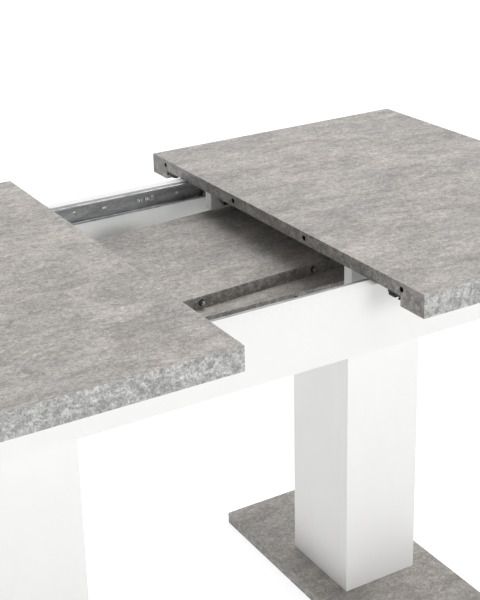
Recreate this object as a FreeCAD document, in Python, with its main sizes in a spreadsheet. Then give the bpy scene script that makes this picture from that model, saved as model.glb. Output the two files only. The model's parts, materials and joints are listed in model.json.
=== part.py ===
"""Extendable dining table: two sliding top halves over a white frame on two box columns.

X runs along the table, Y across it, Z up. The origin is on the floor under the middle of the table.
The table stands with its two halves drawn apart and both loose leaves lying in the frame.
All lengths are in millimetres.
"""
import FreeCAD, Part
import os

doc = FreeCAD.newDocument("ExtendableTable")

SIZES = {
    # whole table
    "table_height": 740,
    "table_width": 800,
    "half_length": 550,
    "half_offset": 143.5,
    # top halves
    "board_thickness": 20,
    "doubler_thickness": 16,
    "doubler_width": 52,
    "band_thickness": 1,
    "batten_thickness": 19,
    "batten_height": 34,
    "batten_length": 400,
    "batten_setback": 5,
    "near_batten_place": 207,
    "far_batten_place": 192,
    # locating pins and their holes
    "pin_radius": 4,
    "pin_reach": 8,
    "pin_depth": 20,
    "pin_clearance": 0.3,
    "pin_end_clearance": 4,
    "inner_pin_spacing": 214,
    "outer_pin_spacing": 700,
    # loose leaves
    "leaf_length": 800,
    "leaf_width": 310,
    "leaf_thickness": 20,
    "upper_leaf_x": 52,
    "upper_leaf_y": 54.5,
    "upper_leaf_turn": 4.5,
    "lower_leaf_y": 17,
    # frame
    "frame_length": 970,
    "frame_width": 590,
    "apron_height": 105,
    "apron_thickness": 18,
    "apron_clearance": 0.5,
    "plate_thickness": 22,
    "plate_length": 210,
    "cross_rail_length": 80,
    "corner_block_side": 30,
    # columns and base plates
    "column_spacing": 644,
    "column_length": 150,
    "column_width": 165,
    "panel_thickness": 22,
    "block_height": 40,
    "base_length": 250,
    "base_width": 490,
    "base_thickness": 22,
    "glide_height": 2,
    "glide_radius": 12,
    "glide_inset": 30,
    # ball-bearing slides
    "rail_length": 920,
    "rail_height": 35,
    "rail_depth": 10,
    "rail_wall": 1.2,
    "rail_drop": 1.5,
    "rail_end_gap": 2,
    "stop_start": 45,
    "stop_spacing": 16,
    "stop_length": 12,
    "stop_height": 10,
    "stop_reach": 3.4,
    "runner_length": 380,
    "runner_proud": 0.3,
    "runner_wall": 1.2,
    "runner_start": 175,
    "cage_length": 220,
    "cage_wall": 0.6,
    "cage_flange_wall": 0.8,
    "cage_clearance": 0.3,
    "cage_lip": 2.1,
    "cage_start": 150,
    "ball_diameter": 4.3,
    "ball_clearance": 0.05,
    "ball_pocket_clearance": 0.1,
    "ball_pitch": 24,
    "bracket_wall": 2,
    "bracket_width": 30,
    "bracket_reach": 30,
    "bracket_drop": 20,
    "first_bracket": 40,
    "second_bracket": 300,
    # catches
    "catch_inset": 1.5,
    "catch_length": 30,
    "catch_width": 29,
    "catch_height": 4.5,
    "catch_pivot_inset": 6,
    "catch_pivot_from_frame": 28,
    "lever_thickness": 3,
    "lever_gap": 0.4,
    "lever_reach": 16,
    "lever_half_width": 6,
    "pivot_radius": 2.5,
    "pivot_clearance": 0.05,
    "striker_thickness": 2,
    "striker_clearance": 1.2,
    "guide_setback": 1,
    "guide_length": 20,
    "guide_width": 24,
    "guide_height": 9,
    "guide_spacing": 306,
    # screws
    "screw_radius": 2,
    "screw_head_radius": 4,
    "screw_head_height": 1.2,
    "rail_screw_length": 14,
    "board_screw_bite": 14,
    "column_screw_length": 50,
    "block_screw_length": 42,
    "column_screw_spacing": 60,
    "inner_rail_screw": 76,
    "outer_rail_screw": 430,
}

X_AXIS = FreeCAD.Vector(1, 0, 0)
Y_AXIS = FreeCAD.Vector(0, 1, 0)
Z_AXIS = FreeCAD.Vector(0, 0, 1)
ENDS = (("left", -1), ("right", 1))
SIDES = (("near", -1), ("far", 1))
TINY = 1e-6

parts = []


def fill_sheet():
    """Write every driving size into the sheet with its alias."""
    sheet = doc.addObject("Spreadsheet::Sheet", "Sizes")
    for row, (name, value) in enumerate(SIZES.items(), start=1):
        sheet.set("A%d" % row, name)
        sheet.set("B%d" % row, str(value))
        sheet.setAlias("B%d" % row, name)
    doc.recompute()


def size(text):
    """Turn an expression with bare size names into one that names the sheet."""
    words = sorted(SIZES, key=len, reverse=True)
    marked = text
    for number, word in enumerate(words):
        marked = marked.replace(word, "<%d>" % number)
    for number, word in enumerate(words):
        marked = marked.replace("<%d>" % number, "Sizes." + word)
    return marked


def bind(item, **expressions):
    """Bind properties of an object to expressions of the sizes."""
    for name, text in expressions.items():
        item.setExpression(name.replace("__", "."), size(text))


def place(item, x, y, z, direction=None):
    """Bind an object's position, with its own Z turned to a direction."""
    if direction is not None:
        item.Placement = FreeCAD.Placement(FreeCAD.Vector(), FreeCAD.Rotation(Z_AXIS, direction))
    bind(item, Placement__Base__x=x, Placement__Base__y=y, Placement__Base__z=z)


def box(x, y, z, length, width, height):
    """A block from its low corner."""
    item = doc.addObject("Part::Box", "Block")
    bind(item, Length=length, Width=width, Height=height)
    place(item, x, y, z)
    return item


def rod(x, y, z, radius, length, direction=Z_AXIS):
    """A round bar from the middle of its first end."""
    item = doc.addObject("Part::Cylinder", "Rod")
    bind(item, Radius=radius, Height=length)
    place(item, x, y, z, direction)
    return item


def screw(x, y, z, length, direction):
    """A countersunk screw whose flat head starts at a point and which runs along a direction."""
    head = doc.addObject("Part::Cone", "Head")
    bind(head, Radius1="screw_head_radius", Radius2="screw_radius", Height="screw_head_height")
    place(head, x, y, z, direction)
    shank = rod(x, y, z, "screw_radius", length, direction)
    return fuse(head, shank)


def fuse(first, second):
    """Two shapes joined into one solid."""
    item = doc.addObject("Part::Fuse", "Joined")
    item.Base = first
    item.Tool = second
    return item


def group(*items):
    """Several separate solids kept together."""
    item = doc.addObject("Part::Compound", "Group")
    item.Links = list(items)
    return item


def cut(base, *tools):
    """A shape with the shapes of others taken out of it."""
    item = doc.addObject("Part::Cut", "Cut")
    item.Base = base
    item.Tool = tools[0] if len(tools) == 1 else group(*tools)
    return item


def part(label, item):
    """Name a finished sub-part."""
    item.Label = label
    parts.append(item)
    return item


def along_x(sign, start, length):
    """The low X of a piece that starts a distance from the middle, towards either end."""
    return "(%s)" % start if sign > 0 else "-(%s) - (%s)" % (start, length)


def along_y(sign, start, width):
    """The low Y of a piece that starts a distance from the middle, towards either side."""
    return along_x(sign, start, width)


BOARD_BOTTOM = "(table_height - board_thickness)"
EDGE_BOTTOM = "(table_height - board_thickness - doubler_thickness)"
APRON_TOP = "(table_height - board_thickness - apron_clearance)"
APRON_BOTTOM = "(table_height - board_thickness - apron_clearance - apron_height)"
FRAME_INSIDE = "(frame_width / 2 - apron_thickness)"
PLATE_TOP = "(%s + plate_thickness)" % APRON_BOTTOM
BASE_TOP = "(glide_height + base_thickness)"
RAIL_BOTTOM = "(%s - rail_drop - rail_height)" % APRON_TOP
RAIL_MIDDLE = "(%s - rail_drop - rail_height / 2)" % APRON_TOP
END_APRON_HEIGHT = "(apron_height - rail_drop - rail_height - rail_end_gap)"
CORNER_BLOCK_HEIGHT = "(%s - plate_thickness)" % END_APRON_HEIGHT
BALL_SPACE = "(ball_diameter + 2 * ball_clearance)"
BALL_RISE = "(rail_height / 2 - rail_wall - ball_diameter / 2 - ball_clearance)"
RUNNER_HEIGHT = "(rail_height - 2 * rail_wall - 2 * %s)" % BALL_SPACE
CAGE_OUTSIDE = "(%s - rail_wall - cage_clearance)" % FRAME_INSIDE
RUNNER_TIP = "(%s - cage_wall - cage_clearance)" % CAGE_OUTSIDE
RUNNER_FACE = "(%s - rail_depth - runner_proud)" % FRAME_INSIDE
CAGE_LIP_END = "(%s + cage_lip)" % RUNNER_FACE
BALL_Y = "((%s + %s) / 2)" % (CAGE_LIP_END, CAGE_OUTSIDE)
PIVOT_Y = "(frame_width / 2 + catch_pivot_from_frame)"
CATCH_BOTTOM = "(%s - catch_height)" % BOARD_BOTTOM
LEVER_TOP = "(%s - lever_gap)" % CATCH_BOTTOM
LEVER_BOTTOM = "(%s - lever_thickness)" % LEVER_TOP
STRIKER_X = "(half_offset + lever_reach - catch_pivot_inset)"
STRIKER_LENGTH = "(2 * (lever_reach - catch_pivot_inset - catch_inset))"
PIN_SPOTS = ("-outer_pin_spacing / 2", "-inner_pin_spacing / 2", "inner_pin_spacing / 2", "outer_pin_spacing / 2")


def make_base(end, sign):
    """A base plate with holes for the column's screws, and its four edge bands."""
    middle = "%d * column_spacing / 2" % sign
    core = box("%s - base_length / 2 + band_thickness" % middle, "-base_width / 2 + band_thickness", "glide_height",
               "base_length - 2 * band_thickness", "base_width - 2 * band_thickness", "base_thickness")
    bands = []
    for band_sign in (-1, 1):
        x = "%s + %s" % (middle, along_x(band_sign, "base_length / 2 - band_thickness", "band_thickness"))
        bands.append(box(x, "-base_width / 2", "glide_height", "band_thickness", "base_width", "base_thickness"))
        y = along_y(band_sign, "base_width / 2 - band_thickness", "band_thickness")
        bands.append(box("%s - base_length / 2 + band_thickness" % middle, y, "glide_height",
                         "base_length - 2 * band_thickness", "band_thickness", "base_thickness"))
    screws = []
    for x_sign in (-1, 1):
        for y_sign in (-1, 1):
            x = "%s + %d * column_screw_spacing / 2" % (middle, x_sign)
            y = "%d * column_screw_spacing / 2" % y_sign
            screws.append(screw(x, y, "glide_height", "column_screw_length", Z_AXIS))
    part("base_plate_" + end, cut(core, group(*screws)))
    return screws, bands


def make_glides():
    """Four glides under each base plate."""
    glides = []
    for end, sign in ENDS:
        for x_sign in (-1, 1):
            for y_sign in (-1, 1):
                x = "%d * column_spacing / 2 + %d * (base_length / 2 - glide_inset)" % (sign, x_sign)
                y = "%d * (base_width / 2 - glide_inset)" % y_sign
                glides.append(rod(x, y, "0", "glide_radius", "glide_height"))
    part("floor_glides", group(*glides))


def make_column(end, sign, base_screws):
    """A box column: two full-width panels, two set between them, and a block inside each end."""
    middle = "%d * column_spacing / 2" % sign
    height = "%s - %s" % (APRON_BOTTOM, BASE_TOP)
    low_x = "%s - column_length / 2" % middle
    for side, y_sign in SIDES:
        low_y = along_y(y_sign, "column_width / 2 - panel_thickness", "panel_thickness")
        part("column_%s_%s_panel" % (end, side),
             box(low_x, low_y, BASE_TOP, "column_length", "panel_thickness", height))
    inner_width = "column_width - 2 * panel_thickness"
    for name, x in (("west", low_x), ("east", low_x + " + column_length - panel_thickness")):
        part("column_%s_%s_panel" % (end, name),
             box(x, "-column_width / 2 + panel_thickness", BASE_TOP, "panel_thickness", inner_width, height))
    inner_length = "column_length - 2 * panel_thickness"
    plate_screws = []
    for x_sign in (-1, 1):
        for y_sign in (-1, 1):
            x = "%s + %d * column_screw_spacing / 2" % (middle, x_sign)
            y = "%d * column_screw_spacing / 2" % y_sign
            plate_screws.append(screw(x, y, PLATE_TOP, "block_screw_length", -Z_AXIS))
    lower = box(low_x + " + panel_thickness", "-column_width / 2 + panel_thickness", BASE_TOP,
                inner_length, inner_width, "block_height")
    upper = box(low_x + " + panel_thickness", "-column_width / 2 + panel_thickness",
                APRON_BOTTOM + " - block_height", inner_length, inner_width, "block_height")
    part("column_%s_blocks" % end, cut(group(lower, upper), group(*(base_screws + plate_screws))))
    plate = box("%s - plate_length / 2" % middle, "-" + FRAME_INSIDE, APRON_BOTTOM,
                "plate_length", "2 * " + FRAME_INSIDE, "plate_thickness")
    part("mounting_plate_" + end, cut(plate, group(*plate_screws)))
    return plate_screws


def make_rail(side, sign, rail_screws):
    """The fixed outer channel of one slide, with its screw holes, two spare holes and two stops for the cages."""
    low_y = along_y(sign, FRAME_INSIDE + " - rail_depth", "rail_depth")
    hollow_y = along_y(sign, FRAME_INSIDE + " - rail_depth", "rail_depth - rail_wall")
    outside = box("-rail_length / 2", low_y, RAIL_BOTTOM, "rail_length", "rail_depth", "rail_height")
    hollow = box("-rail_length / 2", hollow_y, RAIL_BOTTOM + " + rail_wall",
                 "rail_length", "rail_depth - rail_wall", "rail_height - 2 * rail_wall")
    holes = []
    for spare in ("-0.25 * inner_rail_screw", "1.65 * inner_rail_screw"):
        start_y = "%d * (%s - rail_wall)" % (sign, FRAME_INSIDE)
        spare_x = "%d * (%s)" % (sign, spare)
        holes.append(rod(spare_x, start_y, RAIL_MIDDLE, "1.5 * screw_radius", "rail_wall", sign * Y_AXIS))
    channel = cut(cut(outside, hollow), group(*(rail_screws + holes)))
    stops = []
    for number in range(2):
        stops.append(box(along_x(sign, "stop_start + %d * stop_spacing" % number, "stop_length"),
                         along_y(sign, FRAME_INSIDE + " - rail_wall - stop_reach", "stop_reach"),
                         RAIL_MIDDLE + " - stop_height / 2", "stop_length", "stop_reach", "stop_height"))
    part("slide_rail_" + side, fuse(channel, group(*stops)))


def make_frame():
    """Side and end aprons, corner blocks, cross rail, slide rails and their screws."""
    rail_screws = {}
    corner_screws = []
    for side, sign in SIDES:
        rail_screws[side] = []
        for spot in ("-outer_rail_screw", "-inner_rail_screw", "inner_rail_screw", "outer_rail_screw"):
            start_y = "%d * (%s - rail_wall)" % (sign, FRAME_INSIDE)
            rail_screws[side].append(screw(spot, start_y, RAIL_MIDDLE, "rail_screw_length", sign * Y_AXIS))
        for end, x_sign in ENDS:
            x = "%d * (frame_length / 2 - apron_thickness - corner_block_side / 2)" % x_sign
            y = "%d * (%s - corner_block_side)" % (sign, FRAME_INSIDE)
            for rise in ("0.25", "0.75"):
                z = "%s + %s * %s" % (PLATE_TOP, rise, CORNER_BLOCK_HEIGHT)
                corner_screws.append(screw(x, y, z, "block_screw_length", sign * Y_AXIS))
    for side, sign in SIDES:
        board = box("-frame_length / 2", along_y(sign, FRAME_INSIDE, "apron_thickness"), APRON_BOTTOM,
                    "frame_length", "apron_thickness", "apron_height")
        part("side_apron_" + side, cut(board, group(*(rail_screws[side] + corner_screws))))
        make_rail(side, sign, rail_screws[side])
    blocks = []
    for end, sign in ENDS:
        low_x = along_x(sign, "frame_length / 2 - apron_thickness", "apron_thickness")
        part("end_apron_" + end,
             box(low_x, "-" + FRAME_INSIDE, APRON_BOTTOM, "apron_thickness", "2 * " + FRAME_INSIDE,
                 END_APRON_HEIGHT))
        for _, y_sign in SIDES:
            low_x = along_x(sign, "frame_length / 2 - apron_thickness - corner_block_side", "corner_block_side")
            low_y = along_y(y_sign, FRAME_INSIDE + " - corner_block_side", "corner_block_side")
            blocks.append(box(low_x, low_y, PLATE_TOP, "corner_block_side", "corner_block_side",
                              CORNER_BLOCK_HEIGHT))
    part("corner_blocks", cut(group(*blocks), group(*corner_screws)))
    part("cross_rail", box("-cross_rail_length / 2", "-" + FRAME_INSIDE, APRON_BOTTOM,
                           "cross_rail_length", "2 * " + FRAME_INSIDE, "plate_thickness"))
    return corner_screws + rail_screws["near"] + rail_screws["far"]


def make_top_half(end, sign):
    """A top half: board, doubling strips, edge bands and the battens under it."""
    width = "table_width - 2 * band_thickness"
    low_x = along_x(sign, "half_offset + band_thickness", "half_length - 2 * band_thickness")
    board = box(low_x, "-table_width / 2 + band_thickness", BOARD_BOTTOM,
                "half_length - 2 * band_thickness", width, "board_thickness")
    pins = []
    holes = []
    for spot in PIN_SPOTS:
        z = BOARD_BOTTOM + " + board_thickness / 2"
        if end == "left":
            pins.append(rod("-half_offset - pin_depth", spot, z, "pin_radius", "pin_depth + pin_reach", X_AXIS))
        else:
            holes.append(rod("half_offset", spot, z, "pin_radius + pin_clearance",
                             "pin_reach + pin_end_clearance", X_AXIS))
    sockets = pins + holes
    if pins:
        part("locating_pins", group(*pins))

    bands = []
    for side, y_sign in SIDES:
        bands.append(box(along_x(sign, "half_offset", "half_length"),
                         along_y(y_sign, "table_width / 2 - band_thickness", "band_thickness"), EDGE_BOTTOM,
                         "half_length", "band_thickness", "board_thickness + doubler_thickness"))
        bands.append(box(along_x(sign, "half_offset", "band_thickness"),
                         along_y(y_sign, "table_width / 2 - doubler_width", "doubler_width - band_thickness"),
                         EDGE_BOTTOM, "band_thickness", "doubler_width - band_thickness", "doubler_thickness"))
    bands.append(box(along_x(sign, "half_offset + half_length - band_thickness", "band_thickness"),
                     "-table_width / 2 + band_thickness", EDGE_BOTTOM, "band_thickness", width,
                     "board_thickness + doubler_thickness"))
    mating = box(along_x(sign, "half_offset", "band_thickness"), "-table_width / 2 + band_thickness",
                 BOARD_BOTTOM, "band_thickness", width, "board_thickness")
    bands.append(cut(mating, group(*sockets)))
    part("edge_bands_" + end, group(*bands))

    strips = []
    strip_length = "half_length - 2 * band_thickness"
    for side, y_sign in SIDES:
        strips.append(box(low_x, along_y(y_sign, "table_width / 2 - doubler_width",
                                         "doubler_width - band_thickness"), EDGE_BOTTOM,
                          strip_length, "doubler_width - band_thickness", "doubler_thickness"))
    strips.append(box(along_x(sign, "half_offset + half_length - doubler_width", "doubler_width - band_thickness"),
                      "-table_width / 2 + doubler_width", EDGE_BOTTOM, "doubler_width - band_thickness",
                      "table_width - 2 * doubler_width", "doubler_thickness"))
    part("doubling_strips_" + end, group(*strips))

    screws = make_battens(end, sign) + make_runners(end, sign)
    part("top_board_" + end, cut(board, group(*(sockets + screws))))
    part("top_screws_" + end, group(*screws))


def make_battens(end, sign):
    """Two battens under a half, screwed up into the board."""
    screws = []
    for side, y_sign in SIDES:
        inner_face = side + "_batten_place"
        low_y = along_y(y_sign, inner_face, "batten_thickness")
        low_x = along_x(sign, "half_offset + batten_setback", "batten_length")
        own = []
        for share in ("0.1", "0.5", "0.9"):
            x = "%d * (half_offset + batten_setback + %s * batten_length)" % (sign, share)
            y = "%d * (%s + batten_thickness / 2)" % (y_sign, inner_face)
            own.append(screw(x, y, BOARD_BOTTOM + " - batten_height", "batten_height + board_screw_bite", Z_AXIS))
        batten = box(low_x, low_y, BOARD_BOTTOM + " - batten_height", "batten_length", "batten_thickness",
                     "batten_height")
        part("batten_%s_%s" % (end, side), cut(batten, group(*own)))
        screws += own
    return screws


def make_runners(end, sign):
    """The two moving channels of a half, and the angle brackets that carry the board."""
    screws = []
    brackets = []
    for side, y_sign in SIDES:
        depth = "%s - %s" % (RUNNER_TIP, RUNNER_FACE)
        low_x = along_x(sign, "runner_start", "runner_length")
        low_z = RAIL_MIDDLE + " - %s / 2" % RUNNER_HEIGHT
        outside = box(low_x, along_y(y_sign, RUNNER_FACE, depth), low_z, "runner_length", depth, RUNNER_HEIGHT)
        hollow = box(low_x, along_y(y_sign, RUNNER_FACE + " + runner_wall", depth + " - runner_wall"),
                     low_z + " + runner_wall", "runner_length", depth + " - runner_wall",
                     RUNNER_HEIGHT + " - 2 * runner_wall")
        part("slide_runner_%s_%s" % (end, side), cut(outside, hollow))
        for shift in ("first_bracket", "second_bracket"):
            bracket, fixing = make_bracket(sign, y_sign, "runner_start + " + shift)
            brackets.append(bracket)
            screws.append(fixing)
    part("runner_brackets_" + end, cut(group(*brackets), group(*screws)))
    return screws


def make_bracket(sign, y_sign, start):
    """An angle bracket from a runner's face to the underside of the board, with its screw."""
    low_x = along_x(sign, start, "bracket_width")
    upright = box(low_x, along_y(y_sign, RUNNER_FACE + " - bracket_wall", "bracket_wall"),
                  BOARD_BOTTOM + " - bracket_drop - bracket_wall", "bracket_width", "bracket_wall",
                  "bracket_drop + bracket_wall")
    flange = box(low_x, along_y(y_sign, RUNNER_FACE + " - bracket_reach", "bracket_reach"),
                 BOARD_BOTTOM + " - bracket_wall", "bracket_width", "bracket_reach", "bracket_wall")
    x = "%d * (%s + bracket_width / 2)" % (sign, start)
    y = "%d * (%s - bracket_reach * 0.6)" % (y_sign, RUNNER_FACE)
    fixing = screw(x, y, BOARD_BOTTOM + " - bracket_wall", "bracket_wall + board_screw_bite", Z_AXIS)
    return fuse(upright, flange), fixing


def make_cages(end, sign):
    """The ball cages of one half's two slides, and their balls."""
    cages = []
    balls = []
    for side, y_sign in SIDES:
        low_x = along_x(sign, "cage_start", "cage_length")
        depth = "%s - %s" % (CAGE_OUTSIDE, CAGE_LIP_END)
        height = "2 * %s + cage_flange_wall" % BALL_RISE
        low_z = "%s - %s - cage_flange_wall / 2" % (RAIL_MIDDLE, BALL_RISE)
        outside = box(low_x, along_y(y_sign, CAGE_LIP_END, depth), low_z, "cage_length", depth, height)
        hollow = box(low_x, along_y(y_sign, CAGE_LIP_END, depth + " - cage_wall"),
                     low_z + " + cage_flange_wall", "cage_length", depth + " - cage_wall",
                     height + " - 2 * cage_flange_wall")
        pockets = []
        for number in range(9):
            x = "%d * (cage_start + cage_length / 2 + %d * ball_pitch)" % (sign, number - 4)
            y = "%d * %s" % (y_sign, BALL_Y)
            for rise in ("-", "+"):
                z = "%s %s %s" % (RAIL_MIDDLE, rise, BALL_RISE)
                ball = doc.addObject("Part::Sphere", "Ball")
                bind(ball, Radius="ball_diameter / 2")
                place(ball, x, y, z)
                balls.append(ball)
                pockets.append(rod(x, y, z + " - cage_flange_wall", "ball_diameter / 2 + ball_pocket_clearance",
                                   "2 * cage_flange_wall"))
        cages.append(cut(cut(outside, hollow), group(*pockets)))
    part("ball_cages_" + end, group(*cages))
    part("slide_balls_" + end, group(*balls))


def make_catches():
    """Catch bodies and swivel levers under the right half, strikers under the left half."""
    bodies = []
    strikers = []
    for side, y_sign in SIDES:
        pivot_x = "half_offset + catch_pivot_inset"
        pivot_y = "%d * %s" % (y_sign, PIVOT_Y)
        low_y = along_y(y_sign, PIVOT_Y + " - lever_half_width", "catch_width")
        body = box("half_offset + catch_inset", low_y, CATCH_BOTTOM, "catch_length", "catch_width", "catch_height")
        axle = rod(pivot_x, pivot_y, LEVER_BOTTOM, "pivot_radius", "%s - %s" % (CATCH_BOTTOM, LEVER_BOTTOM))
        bodies.append(fuse(body, axle))
        part("catch_lever_" + side, make_lever(y_sign, pivot_x, pivot_y))
        plate = box("-half_offset - catch_inset - %s" % STRIKER_LENGTH, low_y,
                    BOARD_BOTTOM + " - striker_thickness", STRIKER_LENGTH, "catch_width", "striker_thickness")
        stud = rod("-" + STRIKER_X, pivot_y, LEVER_BOTTOM, "pivot_radius",
                   "%s - striker_thickness - %s" % (BOARD_BOTTOM, LEVER_BOTTOM))
        strikers.append(fuse(plate, stud))
    part("catch_bodies", group(*bodies))
    part("catch_strikers", group(*strikers))


def make_lever(y_sign, pivot_x, pivot_y):
    """A flat lever parked across the table, with a round eye at one end and a hook at the other."""
    reach = "lever_reach + lever_half_width"
    low_y = pivot_y if y_sign > 0 else "%s - (%s)" % (pivot_y, reach)
    arm = box("%s - lever_half_width" % pivot_x, low_y, LEVER_BOTTOM, "2 * lever_half_width", reach,
              "lever_thickness")
    eye = rod(pivot_x, pivot_y, LEVER_BOTTOM, "lever_half_width", "lever_thickness")
    bore = rod(pivot_x, pivot_y, LEVER_BOTTOM, "pivot_radius + pivot_clearance", "lever_thickness")
    hook_y = "%s + %d * lever_reach" % (pivot_y, y_sign)
    seat_radius = "pivot_radius + striker_clearance"
    seat = rod(pivot_x, hook_y, LEVER_BOTTOM, seat_radius, "lever_thickness")
    mouth = box("%s - lever_half_width" % pivot_x, "%s - (%s)" % (hook_y, seat_radius), LEVER_BOTTOM,
                "lever_half_width", "2 * (%s)" % seat_radius, "lever_thickness")
    return cut(fuse(arm, eye), bore, fuse(seat, mouth))


def make_guides(end, sign):
    """Small wedges under a half that steer the leaves clear of the battens."""
    guides = []
    for side, y_sign in SIDES:
        wedge = doc.addObject("Part::Wedge", "Guide")
        bind(wedge, Xmin="0", Ymin="0", Zmin="0", X2min="0", Z2min="0",
             Xmax="guide_length", Ymax="guide_height", Zmax="guide_width",
             X2max="guide_length", Z2max="0.3 * guide_width")
        wedge.Placement = FreeCAD.Placement(FreeCAD.Vector(), FreeCAD.Rotation(X_AXIS, -90))
        bind(wedge, Placement__Base__x=along_x(sign, "half_offset + guide_setback", "guide_length"),
             Placement__Base__y="%d * guide_spacing / 2 - guide_width / 2" % y_sign,
             Placement__Base__z=BOARD_BOTTOM)
        guides.append(wedge)
    part("leaf_guides_" + end, group(*guides))


def laid(item, x, y, z, turn):
    """A leaf's piece, made about the leaf's own middle, laid in the frame and turned."""
    holder = group(item)
    bind(holder, Placement__Base__x=x, Placement__Base__y=y, Placement__Base__z=z,
         Placement__Rotation__Angle=turn)
    return holder


def make_leaf(name, x, y, z, turn):
    """A loose leaf: board with four edge bands, pins on one long edge and holes in the other."""
    low_x = "-leaf_length / 2"
    low_y = "-leaf_width / 2"
    core = box(low_x + " + band_thickness", low_y + " + band_thickness", "0",
               "leaf_length - 2 * band_thickness", "leaf_width - 2 * band_thickness", "leaf_thickness")
    pins = []
    holes = []
    for spot in PIN_SPOTS:
        pins.append(rod(spot, low_y + " - pin_reach", "leaf_thickness / 2", "pin_radius",
                        "pin_reach + pin_depth", Y_AXIS))
        holes.append(rod(spot, "leaf_width / 2 - pin_reach - pin_end_clearance", "leaf_thickness / 2",
                         "pin_radius + pin_clearance", "pin_reach + pin_end_clearance", Y_AXIS))
    sockets = group(*(pins + holes))
    bands = []
    for side, sign in SIDES:
        long_band = box(low_x, along_y(sign, "leaf_width / 2 - band_thickness", "band_thickness"), "0",
                        "leaf_length", "band_thickness", "leaf_thickness")
        bands.append(cut(long_band, sockets))
        bands.append(box(along_x(sign, "leaf_length / 2 - band_thickness", "band_thickness"),
                         low_y + " + band_thickness", "0", "band_thickness",
                         "leaf_width - 2 * band_thickness", "leaf_thickness"))
    part(name + "_board", laid(cut(core, sockets), x, y, z, turn))
    part(name + "_edge_bands", laid(group(*bands), x, y, z, turn))
    return laid(group(*pins), x, y, z, turn)


def check_document():
    """Stop if any object failed or any sub-part has no sound shape."""
    for item in doc.Objects:
        if "Invalid" in item.State or "Error" in item.State:
            raise RuntimeError("%s failed: %s" % (item.Label, item.State))
    for item in parts:
        if item.Shape.isNull() or not item.Shape.isValid() or not item.Shape.Solids:
            raise RuntimeError("%s has no valid solid" % item.Label)
        for solid in item.Shape.Solids:
            if solid.Volume < TINY:
                raise RuntimeError("%s has an empty solid" % item.Label)


def write_parts():
    """Write each sub-part to its own file."""
    os.makedirs("parts", exist_ok=True)
    for item in parts:
        item.Shape.exportStep("parts/%s.step" % item.Label)
        print("%-28s %2d solids %12.1f mm3" % (item.Label, len(item.Shape.Solids), item.Shape.Volume))
    print(len(parts), "sub-parts")


def main():
    """Build the whole table."""
    fill_sheet()
    edgings = []
    frame_screws = []
    for end, sign in ENDS:
        base_screws, bands = make_base(end, sign)
        edgings += bands
        frame_screws += base_screws + make_column(end, sign, base_screws)
    part("base_edging", group(*edgings))
    make_glides()
    frame_screws += make_frame()
    part("frame_screws", group(*frame_screws))
    for end, sign in ENDS:
        make_top_half(end, sign)
        make_cages(end, sign)
        make_guides(end, sign)
    make_catches()
    lower_pins = make_leaf("lower_leaf", "0", "lower_leaf_y", PLATE_TOP, "0")
    upper_pins = make_leaf("upper_leaf", "upper_leaf_x", "upper_leaf_y", PLATE_TOP + " + leaf_thickness",
                           "upper_leaf_turn")
    part("leaf_pins", group(lower_pins, upper_pins))
    doc.recompute()
    check_document()
    write_parts()


main()
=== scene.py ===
"""Extendable dining table with a concrete-pattern top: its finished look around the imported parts.

X runs along the table, Y across it, Z up, in metres. Each group of pieces has an operator that makes it,
and the panel in the 3D view's sidebar lists them in the order that main calls them.
"""
import json
import math

import bmesh
import bpy
import numpy as np
from bpy.props import FloatProperty, FloatVectorProperty, IntProperty, PointerProperty
from mathutils import Matrix, Vector


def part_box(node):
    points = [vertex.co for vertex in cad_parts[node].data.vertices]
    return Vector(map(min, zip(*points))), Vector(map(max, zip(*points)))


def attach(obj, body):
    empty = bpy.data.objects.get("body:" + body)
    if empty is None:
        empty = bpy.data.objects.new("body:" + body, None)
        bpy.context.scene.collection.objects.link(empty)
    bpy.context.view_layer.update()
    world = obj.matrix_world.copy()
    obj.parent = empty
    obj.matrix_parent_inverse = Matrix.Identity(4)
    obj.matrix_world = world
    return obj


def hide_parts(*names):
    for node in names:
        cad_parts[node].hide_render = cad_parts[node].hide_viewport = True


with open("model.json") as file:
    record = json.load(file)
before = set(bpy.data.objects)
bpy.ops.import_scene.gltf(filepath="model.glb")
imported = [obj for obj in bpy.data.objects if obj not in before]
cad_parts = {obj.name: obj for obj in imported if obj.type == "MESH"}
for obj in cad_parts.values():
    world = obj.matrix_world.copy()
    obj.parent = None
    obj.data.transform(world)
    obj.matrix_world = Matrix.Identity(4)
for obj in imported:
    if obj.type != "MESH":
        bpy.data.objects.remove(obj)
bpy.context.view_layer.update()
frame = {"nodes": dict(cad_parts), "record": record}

bl_info = {
    "name": "Extendable Dining Table",
    "version": (1, 0, 0),
    "blender": (4, 5, 0),
    "location": "View3D > Sidebar > Table",
    "description": "Builds the pieces, finishes and studio of an extendable dining table",
    "category": "Object",
}

MM = 0.001
SIDES = (("near", -1), ("far", 1))
ENDS = (("left", -1), ("right", 1))
PAIRS_OF_SIGNS = ((-1, -1), (-1, 1), (1, -1), (1, 1))
NODE_SLOTS = {part["node"]: part["material_slot"] for part in frame["record"]["subparts"]}
GEOMETRY_TINY = 1e-7
SMOOTH_BELOW = 35

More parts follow.
